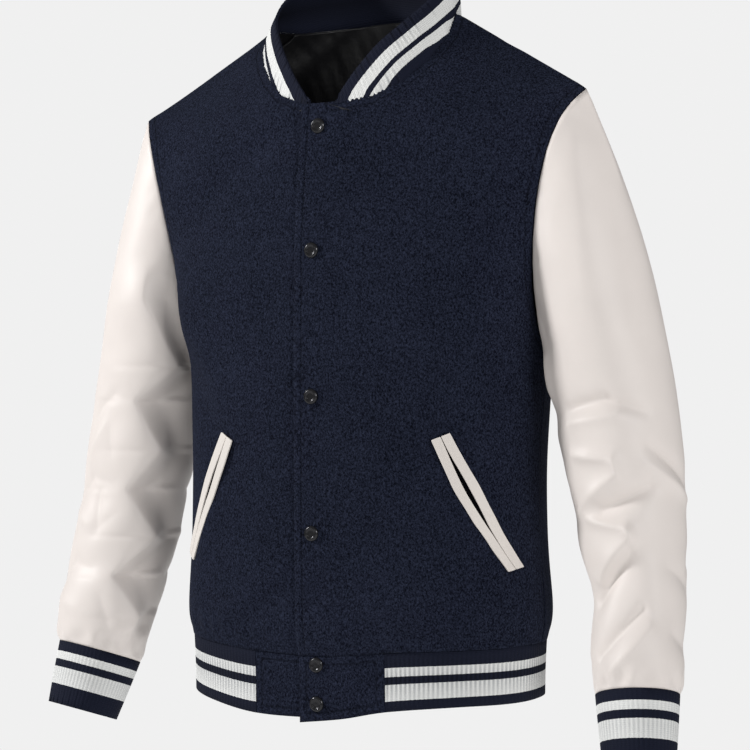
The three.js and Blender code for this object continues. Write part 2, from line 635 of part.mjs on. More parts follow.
// Cuffs: knitted tubes that go on from the last sleeve ring along the cuff's own axis.
const CUFF_STARTS = 0.4;
const CUFF_RINGS = [CUFF_STARTS / CUFF_LENGTH, 0.5, 1];
function addCuff(name, table, taper, mirror) {
  const end = table[table.length - 1];
  const f = armFrame(table, end.z, mirror);
  const count = 2 * Math.round((Math.PI * 2 * end.across) / RIB_PITCH);
  const rounded = count - (count % INNER_STEP);
  const rows = CUFF_RINGS.map((t, k) => Array.from({ length: rounded }, (_, i) => {
    const turn = (i / rounded) * 2 * Math.PI;
    const p = f.centre.clone().addScaledVector(CUFF_AXIS, t * CUFF_LENGTH);
    p.addScaledVector(f.across, end.across * taper[k] * Math.cos(turn));
    p.addScaledVector(f.forward, end.deep * taper[k] * Math.sin(turn));
    p.x *= mirror;
    return p;
  }));
  addRibbed(name, rows, true, mirror);
}
addCuff("cuff_left", SLEEVE_LEFT, CUFF_TAPER_LEFT, 1);
addCuff("cuff_right", SLEEVE_RIGHT, CUFF_TAPER_RIGHT, -1);

// Waistband: a knitted band between two wool patches at the front edges.
function bandDepth(x, z, side) {
  const edge = column(TORSO, "z", z, side > 0 ? "back" : "front");
  const out = Math.min(1, Math.abs(x) / column(TORSO, "z", z, "side")) ** (1 / SQUARENESS);
  const seamY = column(TORSO, "z", z, "seamY");
  return seamY + (side * edge - seamY) * Math.sqrt(Math.max(0, 1 - out * out)) ** SQUARENESS;
}

const CHAIN_STEPS = 100;
const SAME_POINT = 0.01;
function bandChain(z, fromX, toX) {
  const half = column(TORSO, "z", z, "side");
  const chain = [];
  const quarter = (start, end, mirror, side) => {
    for (let k = 0; k <= CHAIN_STEPS; k += 1) {
      const turn = THREE.MathUtils.lerp(start, end, k / CHAIN_STEPS);
      const x = mirror * half * Math.sin(turn) ** SQUARENESS;
      chain.push(new THREE.Vector3(x, bandDepth(x, z, side), z));
    }
  };
  const turnAt = (x) => Math.asin((Math.abs(x) / half) ** (1 / SQUARENESS));
  quarter(turnAt(fromX), Math.PI / 2, 1, -1);
  quarter(Math.PI / 2, 0, 1, 1);
  quarter(0, Math.PI / 2, -1, 1);
  quarter(Math.PI / 2, turnAt(toX), -1, -1);
  return chain.filter((p, i) => i === 0 || p.distanceTo(chain[i - 1]) > SAME_POINT);
}
const BAND_TOP = HEM_Z - SEAM_GAP;
const BAND_ROWS = [BAND_TOP - BAND_HEIGHT, BAND_TOP - BAND_HEIGHT / 2, BAND_TOP];
const bandColumns = 2 * Math.round(chainLength(bandChain(HEM_Z, PATCH_ENDS, -PATCH_ENDS)) / RIB_PITCH);
const bandRows = BAND_ROWS.map((z) => {
  const row = resampled(bandChain(z, PATCH_ENDS + SEAM_GAP, -PATCH_ENDS - SEAM_GAP), bandColumns);
  const seamY = column(TORSO, "z", z, "seamY");
  return row.map((p) => swayed(p, p.y > seamY ? SWAY_BACK : p.x > 0 ? SWAY_LEFT : SWAY_RIGHT));
});
addRibbed("waistband_rib", bandRows, false, 1);

const PATCH_COLUMNS = 9;
function addPatch(name, fromX, rise, sway) {
  const toX = Math.sign(-fromX) * PATCH_ENDS;
  const rows = BAND_ROWS.map((z) => Array.from({ length: PATCH_COLUMNS + 1 }, (_, c) => {
    const x = fromX + ((toX - fromX) * c) / PATCH_COLUMNS;
    return new THREE.Vector3(x, bandDepth(x, z, -1) - rise(x), z);
  }));
  addShell(surface(name, swayedRows(rows, sway), false, Math.sign(toX), WOOL), NAVY, 0.9);
}
addPatch("waistband_patch_left", PLACKET_EDGE, lapRise, SWAY_LEFT);
addPatch("waistband_patch_right", UNDERLAP_EDGE, noLap, SWAY_RIGHT);

// Collar: a knitted strip that stands on the neck seam and runs out to nothing at both front ends.
const COLLAR_BULGE = 3;
const FULL_BULGE_AT = 50;
function collarHalf(seam, top, columns) {
  const base = resampled(seam, columns);
  const edge = spaced(top, columns);
  return Array.from({ length: COLLAR_ROWS + 1 }, (_, r) => base.map((p, c) => {
    const t = r / COLLAR_ROWS;
    const foot = p.clone();
    foot.z += COLLAR_LIFT;
    const q = foot.lerp(edge[c], t);
    const height = p.distanceTo(edge[c]);
    const out = new THREE.Vector3(q.x, q.y, 0).normalize();
    return q.addScaledVector(out, COLLAR_BULGE * Math.sin(Math.PI * t) * smooth(height / FULL_BULGE_AT));
  }));
}

function addCollar() {
  const count = (seam) => INNER_STEP * Math.round((chainLength(seam) * 2) / RIB_PITCH / INNER_STEP);
  const left = collarHalf(seamLeft, COLLAR_TOP_LEFT, count(seamLeft));
  const right = collarHalf(seamRight, COLLAR_TOP_RIGHT, count(seamRight));
  const rows = left.map((row, r) => [...row, ...right[r].slice(0, -1).reverse()]);
  const grid = surface("collar", rows, false, 1, COLLAR_WALL);
  const outer = rows.map((row, r) => row.map((p, c) => {
    return p.clone().addScaledVector(grid.normals[r][c], c % 2 === 0 ? 0 : -RIB_DEPTH);
  }));
  const inner = rows.map((row, r) => row.map((p, c) => {
    const inward = grid.normals[r][c].clone();
    if (r === 0) inward.setZ(0).normalize();
    return p.clone().addScaledVector(inward, -COLLAR_WALL);
  }).filter((p, c) => c % INNER_STEP === 0));
  addMesh("collar", wallTriangles(outer, inner, false, 1), NAVY_RIB, 0.95);
}
addCollar();

// A place on a front: the point of its outer facets at x and z, and the way that the cloth faces there.
const EDGE_SLACK = 1e-9;
function facetPoint(rows, x, z) {
  const inside = (p, q, s) => {
    const area = (q.x - p.x) * (s.z - p.z) - (s.x - p.x) * (q.z - p.z);
    const v = ((x - p.x) * (s.z - p.z) - (s.x - p.x) * (z - p.z)) / area;
    const w = ((q.x - p.x) * (z - p.z) - (x - p.x) * (q.z - p.z)) / area;
    if (v < -EDGE_SLACK || w < -EDGE_SLACK || v + w > 1 + EDGE_SLACK) return null;
    return new THREE.Vector3(x, p.y + v * (q.y - p.y) + w * (s.y - p.y), z);
  };
  for (let r = 0; r < rows.length - 1; r += 1) {
    for (let c = 0; c < rows[r].length - 1; c += 1) {
      const [a, b, d, e] = [rows[r][c], rows[r][c + 1], rows[r + 1][c], rows[r + 1][c + 1]];
      const found = inside(a, e, d) || inside(a, b, e);
      if (found) return found;
    }
  }
  throw new Error(`no cloth at ${x} ${z}`);
}

const FACING_STEP = 4;
function facing(rows, x, z) {
  const across = facetPoint(rows, x + FACING_STEP, z).sub(facetPoint(rows, x - FACING_STEP, z));
  const up = facetPoint(rows, x, z + FACING_STEP).sub(facetPoint(rows, x, z - FACING_STEP));
  return across.cross(up).normalize();
}

// Pocket welts: two leather strips side by side on each front, with the mouth of the pocket between them.
const WELT_STEPS = 16;
const WELT_ACROSS = 2;
const MOUTH_END = 0.82;
const WELTS_APART = 0.5;
function addWelt(name, rows, pocket, towardSide) {
  const mirror = Math.sign(pocket.top[0]);
  const lines = [];
  for (let k = 0; k <= WELT_STEPS; k += 1) {
    const t = k / WELT_STEPS;
    const x = THREE.MathUtils.lerp(pocket.top[0], pocket.bottom[0], t);
    const z = THREE.MathUtils.lerp(pocket.top[1], pocket.bottom[1], t);
    const normal = facing(rows, x, z);
    const run = new THREE.Vector3(pocket.bottom[0] - pocket.top[0], 0, pocket.bottom[1] - pocket.top[1]);
    run.addScaledVector(normal, -run.dot(normal)).normalize();
    const side = new THREE.Vector3().crossVectors(normal, run);
    if (side.x * mirror < 0) side.negate();
    const mouth = WELTS_APART + pocket.gape * Math.sin(Math.PI * Math.min(1, t / MOUTH_END)) ** 2;
    const start = new THREE.Vector3(x, facetPoint(rows, x, z).y, z);
    lines.push(Array.from({ length: WELT_ACROSS + 1 }, (_, c) => {
      const s = (towardSide ? 1 : -1) * (mouth / 2 + (WELT_WIDTH * c) / WELT_ACROSS);
      const q = start.clone().addScaledVector(side, s);
      return facetPoint(rows, q.x, q.z).addScaledVector(normal, WELT_LIFT + WELT);
    }));
  }
  const out = mirror * (towardSide ? -1 : 1);
  addShell(surface(name, lines, false, out, WELT), WELT_CREAM, 0.5);
}
addWelt("welt_left_front", leftRows, POCKETS.left, false);
addWelt("welt_left_side", leftRows, POCKETS.left, true);
addWelt("welt_right_front", rightRows, POCKETS.right, false);
addWelt("welt_right_side", rightRows, POCKETS.right, true);

// Snaps: round caps with a raised ring, one above the other down the lapping front and its waistband patch.
function addSnap(name, z) {
  const at = (h) => (h < HEM_Z ? bandDepth(SNAP_X, h, -1) : -column(TORSO, "z", h, "front")) - LAP_RISE;
  const rim = SNAP_PROFILE[1][0];
  const slope = (at(z + rim) - at(z - rim)) / (2 * rim);
  const normal = new THREE.Vector3(0, -1, slope).normalize();
  const up = new THREE.Vector3(0, slope, 1).normalize();
  const across = new THREE.Vector3(1, 0, 0);
  const cloth = swayed(new THREE.Vector3(SNAP_X, at(z), z), SWAY_LEFT);
  const centre = cloth.addScaledVector(normal, SNAP_LIFT);
  const place = ([radius, height], i) => {
    const turn = (i / SNAP_SIDES) * 2 * Math.PI;
    const p = centre.clone().addScaledVector(normal, height);
    return p.addScaledVector(across, radius * Math.cos(turn)).addScaledVector(up, radius * Math.sin(turn));
  };
  const triangles = [];
  for (let i = 0; i < SNAP_SIDES; i += 1) {
    for (let k = 0; k < SNAP_PROFILE.length - 1; k += 1) {
      const [a, b] = [SNAP_PROFILE[k], SNAP_PROFILE[k + 1]];
      if (a[0] > 0) triangles.push([place(a, i), place(a, i + 1), place(b, i)]);
      if (b[0] > 0) triangles.push([place(a, i + 1), place(b, i + 1), place(b, i)]);
    }
  }
  addMesh(name, triangles, BLACK, 0.35, 0.3);
}
SNAP_HEIGHTS.forEach((z, i) => addSnap(`snap_${i + 1}`, z));

export default part;
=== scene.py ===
from math import cos, pi, radians, sin

import bpy
import numpy as np
from mathutils import Matrix, Vector, kdtree


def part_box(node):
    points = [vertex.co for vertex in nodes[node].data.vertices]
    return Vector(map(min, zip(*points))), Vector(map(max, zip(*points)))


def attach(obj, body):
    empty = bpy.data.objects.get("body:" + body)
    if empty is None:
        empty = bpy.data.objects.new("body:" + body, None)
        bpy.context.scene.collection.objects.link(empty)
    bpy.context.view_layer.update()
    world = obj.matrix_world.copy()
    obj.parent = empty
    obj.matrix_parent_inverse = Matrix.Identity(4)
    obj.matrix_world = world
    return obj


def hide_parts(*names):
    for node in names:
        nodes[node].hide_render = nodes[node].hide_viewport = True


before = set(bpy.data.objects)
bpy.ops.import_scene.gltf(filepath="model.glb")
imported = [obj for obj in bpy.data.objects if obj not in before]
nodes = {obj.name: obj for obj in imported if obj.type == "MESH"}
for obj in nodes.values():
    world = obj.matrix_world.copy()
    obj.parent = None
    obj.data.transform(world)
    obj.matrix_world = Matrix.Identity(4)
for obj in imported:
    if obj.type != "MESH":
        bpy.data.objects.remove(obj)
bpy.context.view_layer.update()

# Body: two wool fronts and a wool back, sewn at the shoulders and the sides. The wearer's left front laps
# over the right and has a folded edge. The wool is a thick, napped melton, topstitched beside the neck,
# armholes and placket.
MM = 0.001
WOOL_NAVY = (0.0020, 0.0026, 0.0062)
WOOL_FLECK = (0.0290, 0.0355, 0.0640)
STITCH_INSET = 8.5 * MM
PLACKET_X = -18 * MM


def select_only(piece):
    bpy.ops.object.select_all(action="DESELECT")
    piece.select_set(True)
    bpy.context.view_layer.objects.active = piece


def round_off(piece, levels):
    rounder = piece.modifiers.new("rounding", "SUBSURF")
    rounder.levels = rounder.render_levels = levels
    select_only(piece)
    bpy.ops.object.modifier_apply(modifier=rounder.name)


def cloth_copy(node, name, levels, sharp=40, soften=1.0):
    """A cloth piece with the solid's form, its facets joined into quads and rounded, its cut edges kept."""
    piece = nodes[node].copy()
    piece.data = nodes[node].data.copy()
    piece.name = piece.data.name = name
    piece.parent = None
    for key in list(piece.keys()):
        del piece[key]
    bpy.context.scene.collection.objects.link(piece)
    piece.data.materials.clear()
    select_only(piece)
    bpy.ops.object.mode_set(mode="EDIT")
    bpy.ops.mesh.select_all(action="SELECT")
    bpy.ops.mesh.remove_doubles(threshold=0.00002)
    bpy.ops.mesh.tris_convert_to_quads(face_threshold=radians(60), shape_threshold=radians(180))
    bpy.ops.mesh.select_all(action="DESELECT")
    bpy.ops.mesh.select_mode(type="EDGE")
    bpy.ops.mesh.edges_select_sharp(sharpness=radians(sharp))
    bpy.ops.transform.edge_crease(value=soften)
    bpy.ops.object.mode_set(mode="OBJECT")
    if levels:
        round_off(piece, levels)
    return piece


def points_of(piece):
    flat = np.empty(len(piece.data.vertices) * 3)
    piece.data.vertices.foreach_get("co", flat)
    return flat.reshape(-1, 3)


def move_points(piece, points):
    piece.data.vertices.foreach_set("co", points.astype(np.float32).ravel())
    piece.data.update()


def store(piece, name, values):
    layer = piece.data.attributes.new(name, "FLOAT", "POINT")
    layer.data.foreach_set("value", values.astype(np.float32))


def ease(t):
    t = np.clip(t, 0, 1)
    return t * t * (3 - 2 * t)


def ripple(u, v, seed):
    """A slow uneven rise and fall from -1 to 1, for cloth that doesn't lie quite even."""
    a = np.sin(u * 0.031 + v * 0.017 + seed) + np.sin(u * 0.013 - v * 0.027 + 2.1 * seed)
    b = np.sin(u * 0.053 + 1.7 * seed) * np.sin(v * 0.041 + seed) + 0.5 * np.sin(u * 0.09 - v * 0.07 + seed)
    return (a + b) / 3.5


# Columns of a fold table: one end across and up, the other end across and up, height of the roll (minus for a
# trough), how wide it is, all in millimetres (across is in degrees on a sleeve).
def fold_height(table, u, v, across=1.0, crispness=1.7):
    total = np.zeros_like(u)
    for u1, v1, u2, v2, height, width in table:
        du, dv = (u2 - u1) * across, v2 - v1
        pu, pv = (u - u1) * across, v - v1
        k = np.clip((pu * du + pv * dv) / (du * du + dv * dv), 0, 1)
        away = np.hypot(pu - k * du, pv - k * dv) / width
        fade = 0.6 + 0.4 * np.sin(pi * np.clip(k, 0.02, 0.98)) ** 0.8
        total += height * fade * np.exp(-away ** crispness)
    return total


def seam_points(node, beside, order, near=1.6 * MM):
    """Where one CAD piece's edge runs beside another, as closely spaced points in order along the seam."""
    tree = kdtree.KDTree(len(nodes[beside].data.vertices))
    for i, vertex in enumerate(nodes[beside].data.vertices):
        tree.insert(vertex.co, i)
    tree.balance()
    ends = sorted({tuple(round(c, 5) for c in v.co) for v in nodes[node].data.vertices
                   if tree.find(v.co)[2] < near}, key=order)
    line = [Vector(ends[0])]
    for end in map(Vector, ends[1:]):
        steps = max(1, round((end - line[-1]).length / (1.5 * MM)))
        start = line[-1]
        line += [start.lerp(end, (k + 1) / steps) for k in range(steps)]
    return line


def seam_distance(points, lines):
    """How far each point is from the nearest seam, and how far along that seam."""
    runs = []
    for line in lines:
        run = 0.0
        for i, p in enumerate(line):
            run += (p - line[i - 1]).length if i else 0.0
            runs.append((p, run))
    tree = kdtree.KDTree(len(runs))
    for i, (p, run) in enumerate(runs):
        tree.insert(p, i)
    tree.balance()
    away, along = np.empty(len(points)), np.empty(len(points))
    for i, p in enumerate(points):
        _, j, d = tree.find(p)
        away[i], along[i] = d, runs[j][1]
    return away, along


def edge_height(node, above, below, points, facing):
    """Height of a strip's edge, read from its solid, in the direction that each point has from the middle."""
    ends = np.array([v.co for v in nodes[node].data.vertices if above < v.co.z / MM < below])
    turn = np.arctan2(ends[:, 0], facing * ends[:, 1])
    order = np.argsort(turn)
    return np.interp(np.arctan2(points[:, 0], facing * points[:, 1]), turn[order], ends[order, 2]) / MM


def body_facing(points):
    x, y, z = points.T
    out = np.stack([np.sign(x) * (np.abs(x) / 0.2) ** 2.4 / 0.2,
                    np.sign(y) * (np.abs(y) / 0.115) ** 1.3 / 0.115,
                    6.0 * ease((z + 0.14) / 0.14)], axis=1)
    return out / np.maximum(np.linalg.norm(out, axis=1, keepdims=True), 1e-6)


# Folds of the fronts: x and height of both ends, rise, width.
FRONT_FOLDS = [
    (-22, -548, -128, -618, 3.2, 15), (-34, -582, -112, -628, -3.4, 12), (-30, -470, -96, -560, 1.4, 20),
    (52, -586, 150, -604, 2.2, 13), (40, -604, 118, -622, -2.4, 11), (176, -352, 96, -470, -3.0, 20),
    (186, -300, 120, -400, 2.2, 18), (-180, -352, -104, -452, -3.2, 20), (-186, -296, -118, -372, 2.4, 18),
    (70, -118, 196, -176, 1.6, 20), (84, -132, 190, -212, -1.6, 18), (-64, -112, -196, -182, 1.6, 20),
    (-74, -140, -186, -226, -1.6, 18), (60, -300, 130, -330, -1.2, 26), (-58, -292, -128, -318, -1.2, 26),
    (34, -430, 84, -520, 1.4, 22), (150, -440, 176, -520, 1.6, 16), (-130, -480, -160, -600, 1.6, 16),
]
BACK_FOLDS = [
    (-150, -170, -60, -236, -2.2, 20), (150, -166, 64, -228, -2.2, 20), (-176, -348, -84, -470, -3.2, 20),
    (180, -340, 88, -456, -3.2, 20), (-168, -300, -92, -398, 2.4, 18), (172, -300, 96, -388, 2.4, 18),
    (-70, -560, 84, -606, 2.8, 16), (-96, -590, 40, -622, -3.0, 12), (20, -566, 140, -612, -2.6, 13),
    (-140, -540, -60, -600, 2.2, 15), (-40, -90, 40, -98, -1.2, 18), (0, -240, 8, -470, -1.2, 30),
]
# Slant pockets: where each mouth runs on its front, top and bottom, in x and height.
POCKET_MOUTHS = {"front_left": (129, -422, 186, -551), "front_right": (-104, -425, -170, -552)}

body_seams = {
    "front_left": [seam_points("front_left", "sleeve_left", lambda p: p[2]),
                   seam_points("front_left", "collar", lambda p: p[2] + 0.2 * p[0], 4.5 * MM)],
    "front_right": [seam_points("front_right", "sleeve_right", lambda p: p[2]),
                    seam_points("front_right", "collar", lambda p: p[2] - 0.2 * p[0], 4.5 * MM)],
    "body_back": [seam_points("body_back", "sleeve_left", lambda p: p[2]),
                  seam_points("body_back", "sleeve_right", lambda p: p[2]),
                  seam_points("body_back", "collar", lambda p: p[0], 4.5 * MM)],
}


def wool_material():
    wool = bpy.data.materials.new("navy_melton_wool")
    wool.use_nodes = True
    tree = wool.node_tree
    shader = tree.nodes["Principled BSDF"]
    coords = tree.nodes.new("ShaderNodeTexCoord")

    def noise(scale, detail, rough=0.6, stretch=(1, 1, 1)):
        place = tree.nodes.new("ShaderNodeMapping")
        place.inputs["Scale"].default_value = stretch
        made = tree.nodes.new("ShaderNodeTexNoise")
        made.inputs["Scale"].default_value = scale
        made.inputs["Detail"].default_value = detail
        made.inputs["Roughness"].default_value = rough
        tree.links.new(coords.outputs["Object"], place.inputs["Vector"])
        tree.links.new(place.outputs["Vector"], made.inputs["Vector"])
        return made.outputs["Fac"]

    def math(kind, a, b=0.0, c=0.0):
        made = tree.nodes.new("ShaderNodeMath")
        made.operation = kind
        for socket, value in zip(made.inputs, (a, b, c)):
            if isinstance(value, (int, float)):
                socket.default_value = value
            else:
                tree.links.new(value, socket)
        return made.outputs[0]

    def attribute(name):
        made = tree.nodes.new("ShaderNodeAttribute")
        made.attribute_name = name
        return made.outputs["Fac"]

    fleck = noise(600, 3, 0.7, (1.0, 1.0, 0.75))
    fibre = noise(1500, 2, 0.6)
    cloud = noise(14, 3)
    mix = math("ADD", math("MULTIPLY", fleck, 0.75), math("MULTIPLY", fibre, 0.35))
    ramp = tree.nodes.new("ShaderNodeValToRGB")
    ramp.color_ramp.elements[0].position = 0.45
    ramp.color_ramp.elements[0].color = (*WOOL_NAVY, 1)
    ramp.color_ramp.elements[1].position = 0.74
    ramp.color_ramp.elements[1].color = (*WOOL_FLECK, 1)
    tree.links.new(math("ADD", mix, math("MULTIPLY", math("SUBTRACT", cloud, 0.5), 0.07)), ramp.inputs["Fac"])
    # A sewn groove a few millimetres in from each seam, with the thread lying in it in short stitches.
    beside = math("ABSOLUTE", math("SUBTRACT", attribute("seam_away"), STITCH_INSET))
    groove = math("SUBTRACT", 1.0, math("MINIMUM", math("DIVIDE", beside, 1.5 * MM), 1.0))
    wave = math("SINE", math("MULTIPLY", attribute("seam_along"), 2 * pi / (3.4 * MM)))
    dash = math("GREATER_THAN", wave, -0.35)
    thread = math("MULTIPLY", math("LESS_THAN", beside, 0.38 * MM), dash)
    # The pocket mouths are painted near black, as painted shadow in the slit.
    mouth = attribute("pocket_mouth_shadow")
    # This mix paints the seam groove darker, as painted shade in the recess.
    painted_shade = tree.nodes.new("ShaderNodeMix")
    painted_shade.data_type = "RGBA"
    painted_shade.inputs["B"].default_value = (0.001, 0.0012, 0.002, 1)
    shade = math("MINIMUM", math("ADD", math("MULTIPLY", groove, 0.35), mouth), 1.0)
    tree.links.new(shade, painted_shade.inputs["Factor"])
    tree.links.new(ramp.outputs["Color"], painted_shade.inputs["A"])
    tree.links.new(painted_shade.outputs["Result"], shader.inputs["Base Color"])
    height = math("ADD", math("MULTIPLY", mix, 0.55), math("MULTIPLY", thread, 0.5))
    height = math("SUBTRACT", height, math("MULTIPLY", groove, 1.1))
    bump = tree.nodes.new("ShaderNodeBump")
    bump.inputs["Strength"].default_value = 0.75
    bump.inputs["Distance"].default_value = 0.0009
    tree.links.new(height, bump.inputs["Height"])
    tree.links.new(bump.outputs["Normal"], shader.inputs["Normal"])
    shader.inputs["Roughness"].default_value = 0.95
    shader.inputs["Specular IOR Level"].default_value = 0.04
    shader.inputs["Sheen Weight"].default_value = 0.02
    shader.inputs["Sheen Roughness"].default_value = 0.5
    shader.inputs["Sheen Tint"].default_value = (0.35, 0.4, 0.55, 1)
    return wool


wool = wool_material()
cloth = {}
for node, folds, flat, area in (
    ("front_left", FRONT_FOLDS, (0.30, 0.66), 0.152),
    ("front_right", FRONT_FOLDS, (0.30, 0.66), 0.152),
    ("body_back", BACK_FOLDS, (0.56, 0.70), 0.318),
):
    piece = cloth_copy(node, "wool_" + node, 3)
    points = points_of(piece)
    x, y, z = (points / MM).T
    away, along = seam_distance(points, body_seams[node])
    clear = np.minimum(away / (14 * MM), 1)
    hold = ease(clear) * ease((z + 627) / 12)
    if node != "body_back":
        hold *= ease((np.abs(x) - 19) / 16)
    rise = fold_height(folds, x, z) * hold + 0.7 * ripple(x * 1.6, z, len(node)) * hold
    # Short gathers where the wool is drawn in to the waistband, and soft puckers along the sewn seams.
    gather = np.sin(x * 0.33 + 0.9 * np.sin(x * 0.11 + 1.3)) * np.exp(-((z + 622) / 15) ** 2)
    rise += 0.9 * gather * ease((z + 630) / 6) * ease((np.abs(x) - 22) / 14)
    pucker = np.sin(along / MM * 0.42 + 1.1 * np.sin(along / MM * 0.13)) * np.exp(-((away / MM - 9) / 5) ** 2)
    rise += 0.28 * pucker - 0.7 * np.exp(-(away / (3.2 * MM)) ** 2)
    # Each pocket mouth is pressed in, and its mask is kept for the painted shadow in the slit.
    mouth = np.zeros(len(points))
    if node in POCKET_MOUTHS:
        x1, z1, x2, z2 = POCKET_MOUTHS[node]
        k = ((x - x1) * (x2 - x1) + (z - z1) * (z2 - z1)) / ((x2 - x1) ** 2 + (z2 - z1) ** 2)
        off = np.hypot(x - x1 - k * (x2 - x1), z - z1 - k * (z2 - z1))
        mouth = (1 - ease((off - 4) / 3)) * ease((k - 0.02) / 0.06) * (1 - ease((k - 0.80) / 0.05))
        rise -= 0.6 * mouth
    hem = edge_height("waistband_rib", -642, -620, points, 1)
    if node != "body_back":
        patch = edge_height("waistband_patch_" + node[6:], -642, -620, points, -1)
        hem = np.where(np.abs(x) < 73, patch, hem)
    over = 1 - ease((z - hem) / 9)
    rise += 0.8 * over
    points += body_facing(points) * (rise * MM)[:, None]
    points[:, 2] -= 1.6 * MM * over
    move_points(piece, points)
    if node == "front_left":
        placket = np.abs(points[:, 0] - PLACKET_X)
        near = placket < away
        away = np.where(near, placket, away)
        along = np.where(near, points[:, 2], along)
    store(piece, "seam_away", away)
    store(piece, "seam_along", along)
    store(piece, "pocket_mouth_shadow", mouth)
    piece.data.materials.append(wool)
    bpy.ops.object.shade_smooth_by_angle(angle=radians(50))
    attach(piece, "root")
    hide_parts(node)
    cloth[node] = piece


# Lining: a light black woven cloth with a soft shine, gathered a little on the inside of the upper back. The
# same cloth faces the inside of the body and the sleeves.
def lining_material():
    satin = bpy.data.materials.new("black_lining")
    satin.use_nodes = True
    tree = satin.node_tree
    shader = tree.nodes["Principled BSDF"]
    coords = tree.nodes.new("ShaderNodeTexCoord")
    weave = tree.nodes.new("ShaderNodeTexNoise")
    weave.inputs["Scale"].default_value = 160
    weave.inputs["Detail"].default_value = 4
    bump = tree.nodes.new("ShaderNodeBump")
    bump.inputs["Strength"].default_value = 0.35
    bump.inputs["Distance"].default_value = 0.001
    tree.links.new(coords.outputs["Object"], weave.inputs["Vector"])
    tree.links.new(weave.outputs["Fac"], bump.inputs["Height"])
    tree.links.new(bump.outputs["Normal"], shader.inputs["Normal"])
    shader.inputs["Base Color"].default_value = (0.0055, 0.0055, 0.007, 1)
    shader.inputs["Roughness"].default_value = 0.42
    shader.inputs["Specular IOR Level"].default_value = 0.5
    return satin


lining = lining_material()


def line_inside(piece, facing):
    """The faces of a wall that look inwards take the lining."""
    piece.data.materials.append(lining)
    normals = np.empty(len(piece.data.polygons) * 3)
    piece.data.polygons.foreach_get("normal", normals)
    centres = np.empty(len(piece.data.polygons) * 3)
    piece.data.polygons.foreach_get("center", centres)
    inward = (normals.reshape(-1, 3) * facing(centres.reshape(-1, 3))).sum(axis=1) < -0.15
    piece.data.polygons.foreach_set("material_index", inward.astype(np.int32))
    piece.data.update()


for piece in cloth.values():
    line_inside(piece, body_facing)

back_lining = cloth_copy("back_lining", "lining_back", 3)
points = points_of(back_lining)
x, y, z = (points / MM).T
rise = 1.1 * np.sin(x * 0.16 + 1.6 * np.sin(z * 0.045)) * (0.6 + 0.4 * np.sin(z * 0.11 + x * 0.03))
rise += 0.5 * np.sin(x * 0.41 + z * 0.12)
points -= body_facing(points) * ((0.9 + rise * 0.5) * MM)[:, None]
move_points(back_lining, points)
back_lining.data.materials.append(lining)
bpy.ops.object.shade_smooth_by_angle(angle=radians(50))
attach(back_lining, "root")
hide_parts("back_lining")

# Sleeves: each one piece of smooth cream leather cloth, set into the armhole and gathered into the cuff. They
# crease at the elbow and above the cuff.
CREAM = (0.800, 0.738, 0.700)
# The line of the arm inside each sleeve: height, how far across and how far back its middle lies.
ARM_LINE = np.array([
    (-88, 215, 0), (-250, 238, 6), (-372, 268, 8), (-430, 279, 6), (-480, 287, 4.5),
    (-540, 296.5, -2), (-590, 304.5, -13), (-625, 308.5, -25), (-664, 310.5, -34),
])
# Folds of a sleeve: angle (0 outside, 90 front, 180 inside) and height of both ends, rise, width.
SLEEVE_FOLDS = {
    "sleeve_left": [
        (120, -396, 78, -385, -3.0, 6), (78, -385, 44, -397, -2.4, 6), (122, -410, 70, -400, 2.2, 7),
        (140, -347, 146, -392, 2.4, 7), (42, -431, -13, -464, -3.6, 7), (48, -446, -8, -481, 2.5, 8),
        (122, -440, 81, -442, 2.8, 6), (81, -442, 79, -455, 2.8, 6), (79, -455, 133, -495, 2.6, 7),
        (102, -490, 46, -468, -4.2, 7.5), (121, -500, 78, -506, 3.2, 6), (78, -506, 74, -514, 3.2, 6),
        (74, -514, 121, -558, 3.0, 7), (76, -530, 128, -576, -4.2, 7.5), (68, -582, 126, -626, -3.4, 7),
        (60, -598, 112, -642, 2.4, 7), (30, -545, -20, -566, -2.2, 9), (24, -606, -24, -622, -2.4, 8),
        (200, -420, 250, -400, -3.0, 8), (190, -470, 255, -500, -3.4, 8), (255, -470, 200, -452, 2.6, 8),
        (-20, -540, -70, -515, -3.0, 8), (195, -540, 262, -562, -3.4, 8), (262, -543, 200, -524, 2.6, 8),
        (-30, -600, -80, -622, -3.0, 8), (200, -600, 255, -625, -3.0, 8), (60, -150, 78, -300, 1.6, 24),
        (150, -250, 130, -330, -2.2, 14), (30, -180, 36, -330, -1.2, 22),
    ],
    "sleeve_right": [
        (62, -398, 84, -384, -3.2, 7), (84, -384, 110, -392, -2.4, 8), (52, -418, 62, -398, -2.2, 7),
        (58, -452, 74, -418, 2.4, 8), (84, -420, 92, -448, -2.0, 8), (46, -492, 66, -474, -3.0, 8),
        (66, -474, 96, -480, -2.4, 8), (42, -512, 72, -524, 2.4, 8), (80, -490, 88, -528, -3.0, 8),
        (88, -528, 108, -512, -1.8, 8), (34, -588, 58, -566, -3.2, 8), (58, -566, 90, -572, -2.4, 8),
        (40, -604, 80, -612, 2.2, 10), (112, -600, 132, -634, -2.4, 9), (60, -350, 96, -360, 1.6, 12),
        (200, -400, 262, -385, -3.0, 8), (205, -440, 258, -455, 2.6, 9), (200, -490, 262, -476, -3.2, 8),
        (205, -535, 258, -548, 2.6, 9), (200, -580, 262, -566, -3.0, 8), (0, -430, -60, -450, -2.4, 9),
        (-5, -520, -70, -505, -2.6, 9), (0, -600, -60, -622, -2.6, 8), (20, -630, -30, -646, -2.0, 7),
    ],
}
# The long crest down a sleeve's inner front, bent to and fro by the creases of the elbow: height, angle.
SLEEVE_CRESTS = {
    "sleeve_left": [(-330, 150), (-372, 146), (-392, 138), (-424, 150), (-470, 140), (-512, 152), (-560, 140),
                    (-610, 150), (-640, 150)],
    "sleeve_right": [(-236, 92), (-283, 101), (-354, 143), (-391, 108), (-444, 142), (-486, 114), (-536, 153),
                     (-578, 118), (-622, 160), (-648, 156)],
}
